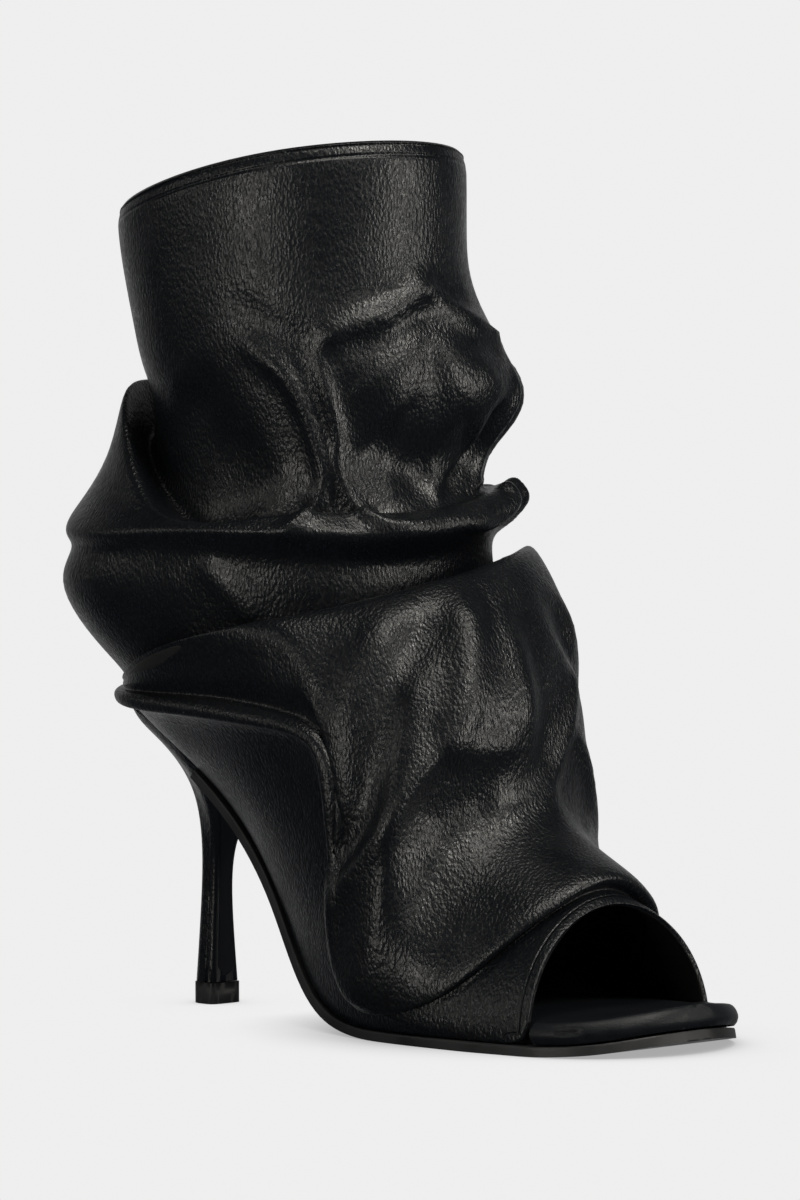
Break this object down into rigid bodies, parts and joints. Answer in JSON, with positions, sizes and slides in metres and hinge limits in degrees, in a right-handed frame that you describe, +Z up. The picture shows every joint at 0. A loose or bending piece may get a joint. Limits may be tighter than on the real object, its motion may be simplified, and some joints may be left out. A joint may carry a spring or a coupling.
{
  "type": "peep toe ankle boot",
  "caption": "High-heeled ankle boot for the right foot: slouched hollow leather upper in deep folds, rounded open toe, slim covered heel and thin sole.",
  "frame": {"origin": "middle of the heel tip's floor face", "axes": "+Z up out of the floor, +X towards the toe, +Y towards the wearer's left, which is the inner side of this right boot"},
  "size_m": [0.2393, 0.1247, 0.263],
  "materials": {
    "black_leather": "semi-gloss, fine pebble grain",
    "black_lining": "smooth satin",
    "black_rubber": "matt",
    "heel_cover": "smooth satin, wrapped over a hard block",
    "hard_lift": "hard satin plastic"
  },
  "bodies": {
    "root": {"upper": "black_leather", "insole": "black_lining", "outsole": "black_rubber", "heel": "heel_cover", "heel_tip": "hard_lift"}
  },
  "joints": []
}
